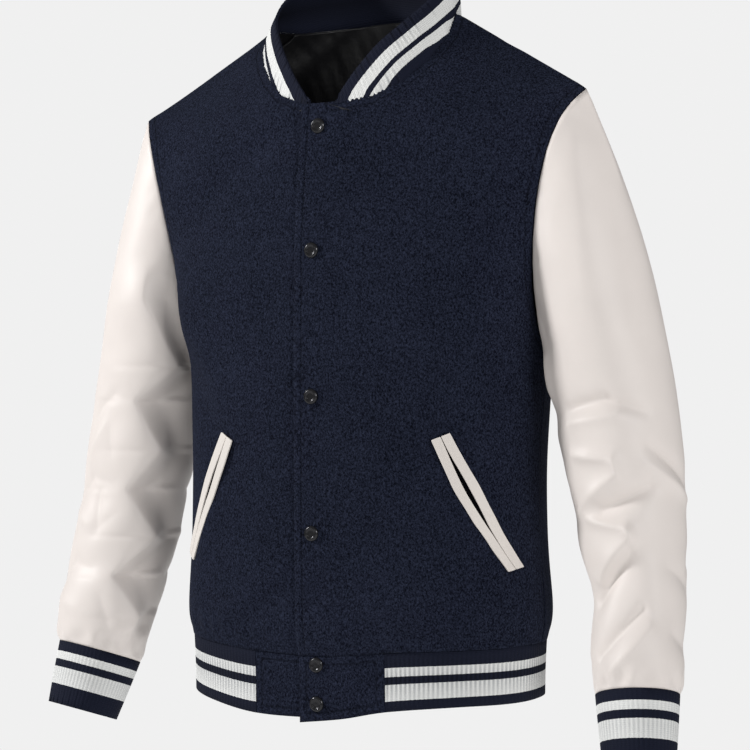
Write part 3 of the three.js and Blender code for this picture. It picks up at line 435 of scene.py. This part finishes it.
# How high the crest stands, how far it slopes off to the outside and the inside, and the trough beyond it.
CREST_SIZES = {"sleeve_left": (2.0, 24, 9, 1.5), "sleeve_right": (7.0, 26, 7, 6.5)}


def crest_height(node, angle, z, radius=54.0):
    line = np.array(SLEEVE_CRESTS[node])
    high, outer, inner, deep = CREST_SIZES[node]
    at = np.interp(-z, -line[:, 0], line[:, 1])
    below = np.interp(-(z - 4), -line[:, 0], line[:, 1])
    above = np.interp(-(z + 4), -line[:, 0], line[:, 1])
    slope = np.abs(below - above)
    lean = 1 / np.hypot(1, np.radians(slope / 8) * radius)
    off = np.radians(angle - at) * radius * lean
    ends = ease((line[0, 0] - z) / 50) * ease((z - line[-1, 0]) / 16)
    width = np.where(off < 0, outer, inner)
    rise = high * np.exp(-(np.abs(off) / width) ** 1.5)
    return (rise - deep * np.exp(-((off - 22) / 14) ** 2)) * ends


def arm_facing(points):
    """Away from the arm's own line, level."""
    side = np.sign(points[:, 0])
    z = points[:, 2] / MM
    centre_x = np.interp(-z, -ARM_LINE[:, 0], ARM_LINE[:, 1]) * MM * side
    centre_y = np.interp(-z, -ARM_LINE[:, 0], ARM_LINE[:, 2]) * MM
    out = np.stack([points[:, 0] - centre_x, points[:, 1] - centre_y, np.zeros(len(points))], axis=1)
    return out / np.maximum(np.linalg.norm(out, axis=1, keepdims=True), 1e-6)


def leather_material(name, colour, grain):
    leather = bpy.data.materials.new(name)
    leather.use_nodes = True
    tree = leather.node_tree
    shader = tree.nodes["Principled BSDF"]
    coords = tree.nodes.new("ShaderNodeTexCoord")
    pebble = tree.nodes.new("ShaderNodeTexVoronoi")
    pebble.inputs["Scale"].default_value = grain
    wave = tree.nodes.new("ShaderNodeTexNoise")
    wave.inputs["Scale"].default_value = 26
    wave.inputs["Detail"].default_value = 3
    tone = tree.nodes.new("ShaderNodeMix")
    tone.data_type = "RGBA"
    tone.inputs["A"].default_value = (*[c * 0.95 for c in colour], 1)
    tone.inputs["B"].default_value = (*[min(1, c * 1.03) for c in colour], 1)
    soft = tree.nodes.new("ShaderNodeBump")
    soft.inputs["Strength"].default_value = 0.35
    soft.inputs["Distance"].default_value = 0.0016
    fine = tree.nodes.new("ShaderNodeBump")
    fine.inputs["Strength"].default_value = 0.12
    fine.inputs["Distance"].default_value = 0.0003
    for made in (pebble, wave):
        tree.links.new(coords.outputs["Object"], made.inputs["Vector"])
    tree.links.new(wave.outputs["Fac"], tone.inputs["Factor"])
    tree.links.new(tone.outputs["Result"], shader.inputs["Base Color"])
    tree.links.new(wave.outputs["Fac"], soft.inputs["Height"])
    tree.links.new(pebble.outputs["Distance"], fine.inputs["Height"])
    tree.links.new(soft.outputs["Normal"], fine.inputs["Normal"])
    tree.links.new(fine.outputs["Normal"], shader.inputs["Normal"])
    shader.inputs["Roughness"].default_value = 0.50
    shader.inputs["Specular IOR Level"].default_value = 0.36
    return leather


cream_leather = leather_material("cream_sleeve_leather", CREAM, 1100)
for node, table in SLEEVE_FOLDS.items():
    piece = cloth_copy(node, "leather_" + node, 3)
    points = points_of(piece)
    out = arm_facing(points)
    side = 1 if node == "sleeve_left" else -1
    x, y, z = (points / MM).T
    angle = (np.degrees(np.arctan2(-out[:, 1], out[:, 0] * side)) + 90) % 360 - 90
    tilt = z - 0.14 * side * (x - side * 310) + 0.30 * (y + 34)
    above_cuff = tilt + 664
    away, along = seam_distance(points, [
        seam_points(node, "front_left" if side > 0 else "front_right", lambda p: p[2]),
        seam_points(node, "body_back", lambda p: p[2]),
    ])
    hold = ease(away / (26 * MM)) * ease((above_cuff - 3) / 16)
    strength = 1.9 if side > 0 else 1.0
    rise = (strength * fold_height(table, angle, z, 0.98, 1.35) + crest_height(node, angle, z)) * hold
    rise += 0.8 * ripple(angle * 1.4, z, 3 + side) * hold
    tuck = np.sin(np.radians(angle) * 11 + 1.4 * np.sin(np.radians(angle) * 3 + side))
    rise += 1.5 * tuck * np.exp(-((above_cuff - 9) / 9) ** 2) * ease(above_cuff / 6)
    swell = np.sin(along / MM * 0.21 + 1.3 * np.sin(along / MM * 0.07))
    rise += (0.35 * swell - 0.2) * np.exp(-((away / MM - 9) / 7) ** 2)
    rise -= 0.6 * np.exp(-(away / (3 * MM)) ** 2)
    points += out * (rise * MM)[:, None]
    move_points(piece, points)
    piece.data.materials.append(cream_leather)
    line_inside(piece, arm_facing)
    bpy.ops.object.shade_smooth_by_angle(angle=radians(60))
    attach(piece, "root")
    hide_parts(node)

# Cuffs: each is a short doubled tube of navy rib knit, sewn to the gathered end of its sleeve. Two white
# stripes are knitted in, here and in the waistband and the collar.
KNIT_NAVY = (0.0085, 0.0108, 0.0235)
KNIT_WHITE = (0.800, 0.805, 0.790)
CUFF_WHITE = ((11.0, 19.5), (27.5, 45.5))
CUFF_AXIS = {1: Vector((9, -20, -63)).normalized(), -1: Vector((-9, -20, -63)).normalized()}
CUFF_SEAM = {1: Vector((308.5, -34, -664)), -1: Vector((-309, -34, -664))}


def knit_material(name, bands):
    """Rib knit whose white stripes lie between the given distances from the strip's edge, in millimetres."""
    knit = bpy.data.materials.new(name)
    knit.use_nodes = True
    tree = knit.node_tree
    shader = tree.nodes["Principled BSDF"]

    def math(kind, a, b=0.0):
        made = tree.nodes.new("ShaderNodeMath")
        made.operation = kind
        for socket, value in zip(made.inputs, (a, b)):
            if isinstance(value, (int, float)):
                socket.default_value = value
            else:
                tree.links.new(value, socket)
        return made.outputs[0]

    rise = tree.nodes.new("ShaderNodeAttribute")
    rise.attribute_name = "knit_rise"
    coords = tree.nodes.new("ShaderNodeTexCoord")
    fuzz = tree.nodes.new("ShaderNodeTexNoise")
    fuzz.inputs["Scale"].default_value = 900
    fuzz.inputs["Detail"].default_value = 3
    tree.links.new(coords.outputs["Object"], fuzz.inputs["Vector"])
    wobble = math("MULTIPLY", math("SUBTRACT", fuzz.outputs["Fac"], 0.5), 0.9)
    place = math("ADD", rise.outputs["Fac"], wobble)
    white = 0.0
    for low, high in bands:
        inside = math("MULTIPLY", math("GREATER_THAN", place, low), math("LESS_THAN", place, high))
        white = math("ADD", white, inside)
    # The inner layer of a doubled collar is plain navy.
    plain = tree.nodes.new("ShaderNodeAttribute")
    plain.attribute_name = "knit_inside"
    white = math("MULTIPLY", white, math("LESS_THAN", plain.outputs["Fac"], 0.5))
    colour = tree.nodes.new("ShaderNodeMix")
    colour.data_type = "RGBA"
    colour.inputs["A"].default_value = (*KNIT_NAVY, 1)
    colour.inputs["B"].default_value = (*KNIT_WHITE, 1)
    tree.links.new(white, colour.inputs["Factor"])
    # The furrow between two ribs is darker, because its yarn lies in shadow.
    furrow = tree.nodes.new("ShaderNodeAttribute")
    furrow.attribute_name = "knit_furrow"
    shade = tree.nodes.new("ShaderNodeMix")
    shade.data_type = "RGBA"
    shade.blend_type = "MULTIPLY"
    shade.inputs["B"].default_value = (0.40, 0.41, 0.44, 1)
    tree.links.new(furrow.outputs["Fac"], shade.inputs["Factor"])
    tree.links.new(colour.outputs["Result"], shade.inputs["A"])
    tree.links.new(shade.outputs["Result"], shader.inputs["Base Color"])
    stitch = math("SINE", math("MULTIPLY", rise.outputs["Fac"], 2 * pi / 1.9))
    bump = tree.nodes.new("ShaderNodeBump")
    bump.inputs["Strength"].default_value = 0.6
    bump.inputs["Distance"].default_value = 0.0004
    tree.links.new(math("ADD", math("MULTIPLY", stitch, 0.5), fuzz.outputs["Fac"]), bump.inputs["Height"])
    tree.links.new(bump.outputs["Normal"], shader.inputs["Normal"])
    shader.inputs["Roughness"].default_value = 0.9
    shader.inputs["Specular IOR Level"].default_value = 0.15
    return knit


def knit_copy(node, name, levels, deepen=0.7):
    """A ribbed strip from its solid. Its furrows are pressed in, and each point knows how deep it lies."""
    piece = cloth_copy(node, name, 0, sharp=55)
    points = points_of(piece)
    normals = np.empty(len(points) * 3)
    piece.data.vertices.foreach_get("normal", normals)
    normals = normals.reshape(-1, 3)
    edges = np.empty(len(piece.data.edges) * 2, dtype=np.int32)
    piece.data.edges.foreach_get("vertices", edges)
    a, b = edges.reshape(-1, 2).T
    total, count = np.zeros_like(points), np.zeros(len(points))
    for i, j in ((a, b), (b, a)):
        np.add.at(total, i, points[j])
        np.add.at(count, i, 1)
    dip = ((total / count[:, None] - points) * normals).sum(axis=1) / MM
    store(piece, "knit_furrow", np.clip(dip / 0.35, 0, 1))
    points -= normals * (np.clip(dip / 0.35, 0, 1) * deepen * MM)[:, None]
    move_points(piece, points)
    round_off(piece, levels)
    bpy.ops.object.shade_smooth_by_angle(angle=radians(60))
    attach(piece, "root")
    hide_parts(node)
    return piece


cuff_knit = knit_material("rib_knit_cuff", CUFF_WHITE)
for node, side in (("cuff_left", 1), ("cuff_right", -1)):
    piece = knit_copy(node, "knit_" + node, 2)
    down = (points_of(piece) / MM - np.array(CUFF_SEAM[side])) @ np.array(CUFF_AXIS[side])
    store(piece, "knit_rise", down)
    piece.data.materials.append(cuff_knit)

# Waistband: a ribbed strip of the same knit round the back and sides, between two patches of the body's wool.
BAND_HEIGHT = 66.0
BAND_WHITE = ((11.5, 29.5), (38.0, 48.0))

band_knit = knit_material("rib_knit_waistband", BAND_WHITE)
band = knit_copy("waistband_rib", "knit_waistband", 2)
points = points_of(band)
foot = edge_height("waistband_rib", -712, -678, points, 1)
head = edge_height("waistband_rib", -642, -620, points, 1)
store(band, "knit_rise", (points[:, 2] / MM - foot) / (head - foot) * BAND_HEIGHT)
band.data.materials.append(band_knit)

for node, ends in (("waistband_patch_left", (-18, 73)), ("waistband_patch_right", (-73, 16))):
    piece = cloth_copy(node, "wool_" + node, 3)
    points = points_of(piece)
    foot = edge_height(node, -712, -678, points, -1)
    head = edge_height(node, -642, -620, points, -1)
    x, y, z = (points / MM).T
    beside = np.minimum(x - ends[0], ends[1] - x)
    upright = np.minimum(z - foot, head - z)
    rim = np.minimum(beside, upright) * MM
    rise = 0.35 * ripple(x * 3, z * 3, 5) * ease(beside / 10) - 0.5 * np.exp(-(rim / (2.2 * MM)) ** 2)
    points += body_facing(points) * (rise * MM)[:, None]
    points[:, 2] += 1.0 * MM * ease((z - head + 3) / 3)
    move_points(piece, points)
    store(piece, "seam_away", np.maximum(rim, 0))
    store(piece, "seam_along", np.where(beside < upright, z, x) * MM)
    store(piece, "pocket_mouth_shadow", np.zeros(len(points)))
    piece.data.materials.append(wool)
    line_inside(piece, body_facing)
    bpy.ops.object.shade_smooth_by_angle(angle=radians(50))
    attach(piece, "root")
    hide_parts(node)

# Collar: one strip of the knit that stands on the neck seam and narrows to nothing at the front. Its stripes
# run along its top edge and are cut off by the seam.
collar_knit = knit_material("rib_knit_collar", ((11.5, 23.5), (28.5, 37.0)))
collar = knit_copy("collar", "knit_collar", 2)
NECK_MIDDLE = (0, -8 * MM)
tops = {}
for vertex in nodes["collar"].data.vertices:
    p = vertex.co
    turn = round(np.degrees(np.arctan2(p.y - NECK_MIDDLE[1], p.x)) / 1.5)
    if turn not in tops or p.z > tops[turn].z:
        tops[turn] = p.copy()
ordered = [tops[turn] for turn in sorted(tops, key=lambda t: (t + 60) % 240)]
edge = []
for p, q in zip(ordered, ordered[1:]):
    if (q - p).length < 12 * MM:
        edge += [p.lerp(q, k / 5) for k in range(5)]
points = points_of(collar)
from_top, _ = seam_distance(points, [edge])
normals = np.empty(len(points) * 3)
collar.data.vertices.foreach_get("normal", normals)
outward = points * (1, 1, 0) - (*NECK_MIDDLE, 0)
inner = (normals.reshape(-1, 3) * outward).sum(axis=1) < -0.15 * np.linalg.norm(outward, axis=1)
store(collar, "knit_rise", from_top / MM)
store(collar, "knit_inside", (inner & (from_top > 4 * MM)).astype(float))
# Its foot is sewn in between the wool and the lining, so it goes down a little behind the neck edge.
seam = [seam_points("collar", beside, lambda p: p[0], 5 * MM)
        for beside in ("front_left", "front_right", "body_back")]
from_seam, _ = seam_distance(points, seam)
points[:, 2] -= 2.4 * MM * (1 - ease((from_seam / MM - 2) / 5))
move_points(collar, points)
collar.data.materials.append(collar_knit)

# Pocket welts: two strips of the sleeves' cloth, folded and sewn along both sides of each pocket mouth.
welt_leather = leather_material("cream_welt_leather", (0.760, 0.710, 0.665), 1300)
for node in ("welt_left_front", "welt_left_side", "welt_right_front", "welt_right_side"):
    piece = cloth_copy(node, "leather_" + node, 3, soften=0.45)
    piece.data.materials.append(welt_leather)
    bpy.ops.object.shade_smooth_by_angle(angle=radians(50))
    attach(piece, "root")
    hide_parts(node)

# Snaps: pressed metal caps with black enamel. A rolled ring stands round a shallow dimple.
enamel = bpy.data.materials.new("black_snap_enamel")
enamel.use_nodes = True
shader = enamel.node_tree.nodes["Principled BSDF"]
shader.inputs["Base Color"].default_value = (0.030, 0.030, 0.033, 1)
shader.inputs["Roughness"].default_value = 0.24
shader.inputs["Metallic"].default_value = 0.7
wear = enamel.node_tree.nodes.new("ShaderNodeTexNoise")
wear.inputs["Scale"].default_value = 700
worn = enamel.node_tree.nodes.new("ShaderNodeBump")
worn.inputs["Strength"].default_value = 0.08
worn.inputs["Distance"].default_value = 0.0002
coords = enamel.node_tree.nodes.new("ShaderNodeTexCoord")
enamel.node_tree.links.new(coords.outputs["Object"], wear.inputs["Vector"])
enamel.node_tree.links.new(wear.outputs["Fac"], worn.inputs["Height"])
enamel.node_tree.links.new(worn.outputs["Normal"], shader.inputs["Normal"])

low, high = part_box("snap_2")
middle = (Vector(low) + Vector(high)) / 2
bpy.ops.object.select_all(action="DESELECT")
bpy.ops.mesh.primitive_cylinder_add(
    vertices=48, radius=7.6 * MM, depth=1.5 * MM, location=(middle.x, high[1] - 0.75 * MM, middle.z),
    rotation=(radians(90), 0, 0),
)
cap = bpy.context.object
bpy.ops.object.transform_apply(location=True, rotation=True, scale=True)
bpy.ops.object.mode_set(mode="EDIT")
bpy.ops.mesh.select_mode(type="FACE")
bpy.ops.mesh.select_all(action="DESELECT")
bpy.ops.object.mode_set(mode="OBJECT")
front = min(cap.data.polygons, key=lambda f: f.center.y)
front.select = True
bpy.ops.object.mode_set(mode="EDIT")
for thickness, depth in ((0.9, 1.1), (0.9, 0.45), (1.1, -0.25), (0.8, -0.75), (0.6, -0.15), (2.0, 0.15)):
    bpy.ops.mesh.inset(thickness=thickness * MM, depth=depth * MM)
bpy.ops.object.mode_set(mode="OBJECT")
edge_round = cap.modifiers.new("edge", "BEVEL")
edge_round.width = 0.35 * MM
edge_round.segments = 3
edge_round.limit_method = "ANGLE"
bpy.ops.object.modifier_apply(modifier=edge_round.name)
bpy.ops.object.shade_smooth_by_angle(angle=radians(60))
cap.data.materials.append(enamel)
for number in range(1, 7):
    snap = cap if number == 2 else cap.copy()
    low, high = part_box(f"snap_{number}")
    if number != 2:
        snap.data = cap.data.copy()
        bpy.context.scene.collection.objects.link(snap)
        shift = (Vector(low) + Vector(high)) / 2 - middle
        snap.data.transform(Matrix.Translation(shift))
    snap.name = snap.data.name = f"snap_cap_{number}"
    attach(snap, "root")
    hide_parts(f"snap_{number}")

# Studio: a pale floor and a paper backdrop behind, soft light mostly from the upper left, and the photo's
# level view.
PALE = (0.872, 0.872, 0.872)
VIEW_TURN = radians(28)
VIEW_AWAY = 2.0
pale = bpy.data.materials.new("pale_paper")
pale.use_nodes = True
shader = pale.node_tree.nodes["Principled BSDF"]
shader.inputs["Base Color"].default_value = (0, 0, 0, 1)
shader.inputs["Specular IOR Level"].default_value = 0
shader.inputs["Emission Color"].default_value = (*PALE, 1)
shader.inputs["Emission Strength"].default_value = 1.0
bpy.ops.object.select_all(action="DESELECT")
bpy.ops.mesh.primitive_plane_add(size=12, location=(0, 0, -1.9))
floor = bpy.context.object
floor.name = "floor"
bpy.ops.mesh.primitive_plane_add(
    size=4.2, location=(-4.6 * sin(VIEW_TURN), 4.6 * cos(VIEW_TURN), 0), rotation=(pi / 2, 0, VIEW_TURN),
)
backdrop = bpy.context.object
backdrop.name = "backdrop"
floor.data.materials.append(pale)
backdrop.data.materials.append(pale)

world = bpy.data.worlds.new("studio_air")
world.use_nodes = True
world.node_tree.nodes["Background"].inputs["Color"].default_value = (*PALE, 1)
world.node_tree.nodes["Background"].inputs["Strength"].default_value = 0.24
bpy.context.scene.world = world


def lamp(name, place, aim, size, power):
    light = bpy.data.lights.new(name, "AREA")
    light.size = size
    light.energy = power
    holder = bpy.data.objects.new(name, light)
    holder.location = place
    holder.rotation_euler = (Vector(aim) - Vector(place)).to_track_quat("-Z", "Y").to_euler()
    bpy.context.scene.collection.objects.link(holder)


lamp("key_lamp", (-2.5, -1.35, 0.9), (0, 0, -0.35), 0.4, 74)
lamp("side_lamp", (2.3, -1.3, 0.4), (0.3, 0, -0.4), 0.8, 27)
lamp("front_lamp", (0.6, -2.9, 0.5), (0, 0, -0.4), 0.9, 8)

eye = bpy.data.cameras.new("photo_view")
eye.lens = 36 * 1940 / 750
eye.shift_x = 10 / 750
camera = bpy.data.objects.new("photo_view", eye)
camera.location = (VIEW_AWAY * sin(VIEW_TURN), -VIEW_AWAY * cos(VIEW_TURN), -0.363)
camera.rotation_euler = (pi / 2, 0, VIEW_TURN)
bpy.context.scene.collection.objects.link(camera)
bpy.context.scene.camera = camera
bpy.context.scene.view_settings.view_transform = "Standard"
